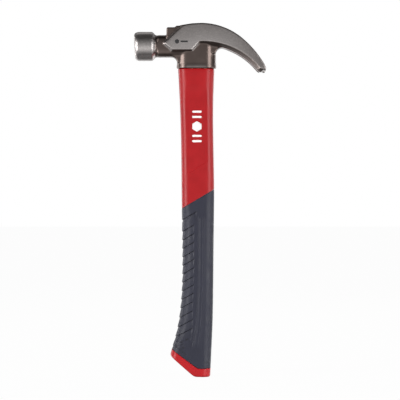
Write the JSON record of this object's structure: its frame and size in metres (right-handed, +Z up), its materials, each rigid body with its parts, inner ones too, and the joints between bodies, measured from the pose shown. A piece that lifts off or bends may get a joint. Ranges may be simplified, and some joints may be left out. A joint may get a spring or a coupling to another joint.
{
  "type": "claw hammer",
  "caption": "Curved-claw hammer with a forged head, smooth canted face, grooved nail starter and a jacketed fibreglass handle with a rubber grip.",
  "frame": {"origin": "centre of the bounding box in X and Y, at the height of the butt's lowest face", "axes": "+Z up the handle from the butt to the head, -X towards the striking face, +X towards the claw, Y across the thickness"},
  "size_m": [0.1258, 0.0304, 0.3363],
  "materials": {
    "forged_steel": "satin",
    "magnet_plating": "satin",
    "epoxy": "gloss",
    "gasket_rubber": "matte",
    "fiberglass": "satin",
    "jacket_plastic": "satin",
    "grip_rubber": "matte",
    "cap_plastic": "satin"
  },
  "bodies": {
    "root": {"hammer_head": "forged_steel", "nail_magnet": "magnet_plating", "eye_resin": "epoxy", "eye_gasket": "gasket_rubber", "fiberglass_core": "fiberglass", "handle_jacket": "jacket_plastic", "rubber_grip": "grip_rubber", "butt_cap": "cap_plastic"}
  },
  "joints": []
}
